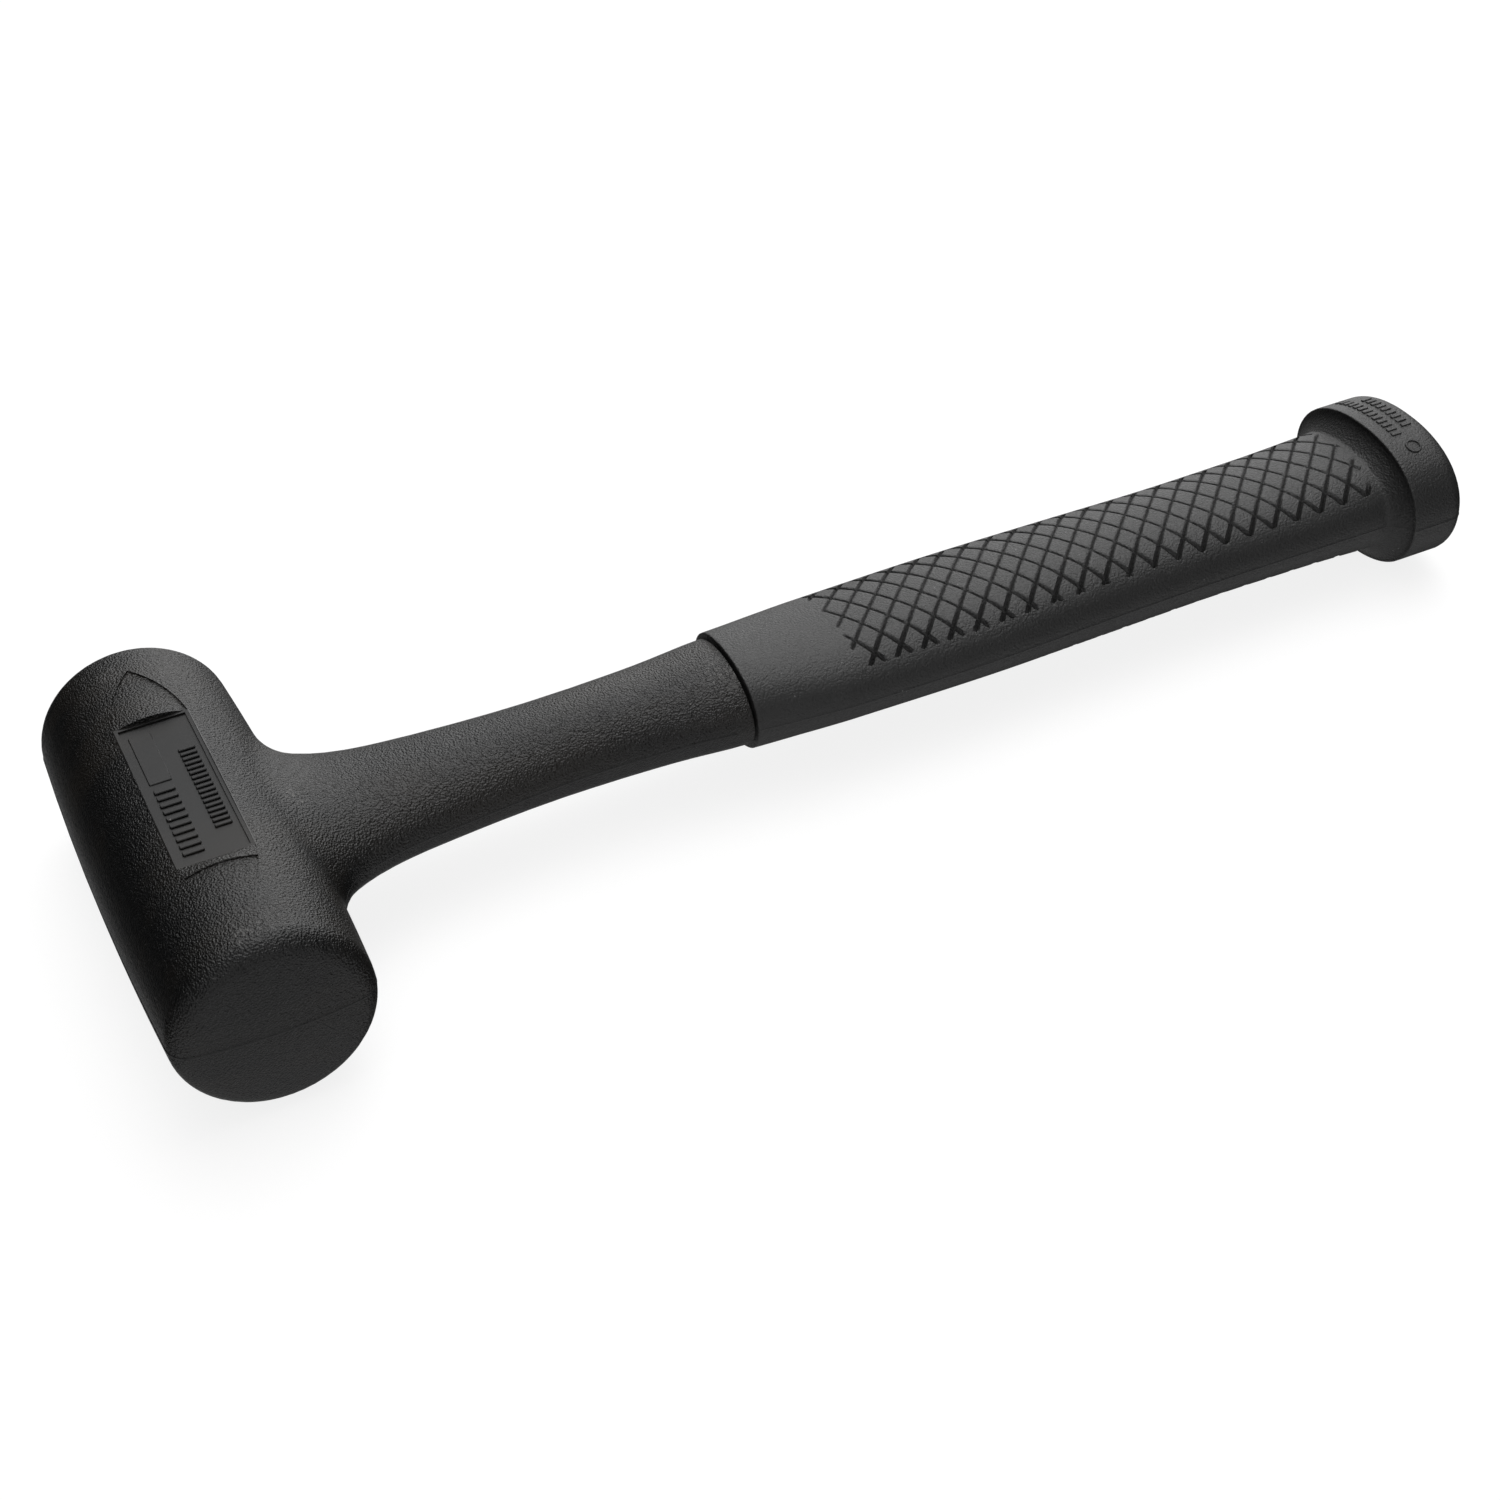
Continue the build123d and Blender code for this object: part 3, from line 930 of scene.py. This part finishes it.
# ---------------------------------------------------------------------------
# Camera, light and floor
# ---------------------------------------------------------------------------
# The camera's place round its aim, and its roll, in degrees.
VIEW_AZIMUTH = -24.29
VIEW_ELEVATION = 39.04
VIEW_ROLL = -2.77
VIEW_DISTANCE = 391.0 * MM
AIM_POINT = Vector((87.94, -5.22, -9.09)) * MM
LENS = 58.32                   # focal length and width of the sensor, in millimetres
SENSOR_WIDTH = 36.0
CLIP_START = 10 * MM

# Soft studio lights: azimuth (0 in front, 90 to the right), elevation and strength of each.
SOFTBOXES = {
    "key_behind": (150, 60, 3.8),
    "low_behind": (150, 12, 2.8),
    "overhead": (0, 90, 2.1),
    "high_right": (105, 60, 1.4),
    "high_left": (320, 60, 1.1),
    "side_right": (130, 38, 0.7),
    "front": (10, 12, 0.8),
    "front_left": (340, 12, 0.5),
    "front_low": (350, -15, 0.9),
    "floor_right": (45, -45, 1.2),
    "floor_left": (315, -45, 0.8),
    "floor_far_left": (270, -45, 0.7),
    "floor_behind": (180, -45, 0.7),
    "floor_under": (0, -85, 0.5),
}
SOFTBOX_FALL_OFF = 18.0        # exponent of the cosine: larger is a smaller light
FLOOR_GLOW = 0.84
FLOOR_SHADE = 0.22
FLOOR_MOTTLE = 0.02
FLOOR_GAP = 0.35 * MM          # room for the raised marks under the mallet
FLOOR_REACH = 4.0              # half size of the floor and height of its walls


def direction_to(azimuth, elevation):
    """Unit vector towards a place round the object, by angles in degrees."""
    turn = math.radians(azimuth)
    lift = math.radians(elevation)
    return Vector((math.sin(turn) * math.cos(lift), -math.cos(turn) * math.cos(lift), math.sin(lift)))


def add_camera():
    azimuth = math.radians(VIEW_AZIMUTH)
    roll = math.radians(VIEW_ROLL)
    back = direction_to(VIEW_AZIMUTH, VIEW_ELEVATION)
    level_right = Vector((math.cos(azimuth), math.sin(azimuth), 0.0))
    level_up = back.cross(level_right)
    right = math.cos(roll) * level_right + math.sin(roll) * level_up
    up = back.cross(right)
    data = bpy.data.cameras.new("camera")
    data.lens = LENS
    data.sensor_width = SENSOR_WIDTH
    data.clip_start = CLIP_START
    camera = bpy.data.objects.new("camera", data)
    turn = Matrix((right, up, back)).transposed()
    camera.matrix_world = Matrix.Translation(AIM_POINT + back * VIEW_DISTANCE) @ turn.to_4x4()
    bpy.context.scene.collection.objects.link(camera)
    bpy.context.scene.camera = camera


def add_studio():
    """The studio's soft lights, as bright patches of the surroundings."""
    world = bpy.data.worlds.new("studio")
    world.use_nodes = True
    n = NodeTree(world.node_tree)
    towards = n.add("ShaderNodeTexCoord").outputs["Generated"]
    patches = []
    for azimuth, elevation, strength in SOFTBOXES.values():
        facing = n.add("ShaderNodeVectorMath", operation="DOT_PRODUCT")
        n.link(towards, facing.inputs[0])
        facing.inputs[1].default_value = direction_to(azimuth, elevation)
        in_front = n.math("MAXIMUM", facing.outputs["Value"], 0.0)
        soft = n.math("POWER", in_front, SOFTBOX_FALL_OFF)
        patches.append(n.math("MULTIPLY", soft, strength))
    background = world.node_tree.nodes["Background"]
    background.inputs["Color"].default_value = grey(1.0)
    n.link(n.combine("ADD", patches), background.inputs["Strength"])
    bpy.context.scene.world = world
    bpy.context.scene.view_settings.view_transform = "Standard"


def floor_material():
    """Pale paper that glows a little, so that it looks evenly lit."""
    n = MaterialNodes("floor_paper")
    mottle = n.noise(scale=30, detail=3.0)
    n.drive("Base Color", n.blend_colours(mottle, grey(FLOOR_SHADE), grey(FLOOR_SHADE + FLOOR_MOTTLE)))
    n.shader.inputs["Roughness"].default_value = 0.9
    n.shader.inputs["Specular IOR Level"].default_value = 0.0
    n.shader.inputs["Emission Color"].default_value = grey(1.0)
    n.shader.inputs["Emission Strength"].default_value = FLOOR_GLOW
    return n.material


def add_floor():
    """A pale floor just under the head and the butt flange, with pale walls far round it.

    The mallet lies on its head and its flange, so the floor slopes a little along the handle. Only the
    camera sees it: the light on the mallet comes from the studio alone.
    """
    head_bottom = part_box("casing")[0].z
    rim_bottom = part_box("grip_sleeve")[0].z
    rim_x = (FLANGE_FRONT + BUTT_X - BUTT_ROUND) / 2
    slope = (rim_bottom - head_bottom) / rim_x
    corners = []
    for height in (-FLOOR_GAP, FLOOR_REACH):
        for x_side, y_side in ((-1, -1), (1, -1), (1, 1), (-1, 1)):
            x = x_side * FLOOR_REACH
            corners.append((x, y_side * FLOOR_REACH, head_bottom + slope * x + height))
    faces = [(0, 1, 2, 3)]
    join_rings(faces, 0, 4, 4)
    mesh = bpy.data.meshes.new("floor")
    mesh.from_pydata(corners, [], faces)
    mesh.materials.append(floor_material())
    floor = bpy.data.objects.new("floor", mesh)
    floor.visible_diffuse = False
    floor.visible_glossy = False
    floor.visible_shadow = False
    bpy.context.scene.collection.objects.link(floor)


# ---------------------------------------------------------------------------
# The mallet
# ---------------------------------------------------------------------------
def dress_node(name, material):
    """Gives a CAD node its finish."""
    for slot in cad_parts[name].material_slots:
        slot.material = material


def dress_inner_pieces():
    """Gives the steel pieces inside the head and the handle their finishes."""
    drawn = steel_material("drawn_steel", (0.50, 0.50, 0.51), 0.32, brushed=(1.0, 0.05, 1.0))
    turned = steel_material("turned_steel", (0.56, 0.56, 0.57), 0.30)
    weld = steel_material("weld_metal", (0.34, 0.30, 0.27), 0.45)
    spring = steel_material("spring_steel", (0.20, 0.20, 0.22), 0.35)
    bar = steel_material("bar_steel", (0.50, 0.50, 0.50), 0.35, brushed=(0.04, 1.0, 1.0))
    shot = steel_material("shot_steel", (0.58, 0.58, 0.59), 0.18)
    finishes = {
        "canister_tube": drawn,
        "canister_cap_near": turned,
        "canister_cap_far": turned,
        "cap_weld_near": weld,
        "cap_weld_far": weld,
        "rod_boss": turned,
        "boss_weld": weld,
        "roll_pin": spring,
        "handle_rod": bar,
        "rod_anchor_collar": bar,
        "steel_shot": shot,
    }
    for name, material in finishes.items():
        dress_node(name, material)


def build_mallet():
    casing = casing_material()
    rubber = rubber_material()
    dress_node("casing", casing)
    seam_bead(seam_material())
    panel_marks(casing)
    panel_sills(casing)
    grip_sleeve(rubber)
    rim_marks(rubber)
    dress_inner_pieces()


add_camera()
add_studio()
add_floor()
build_mallet()
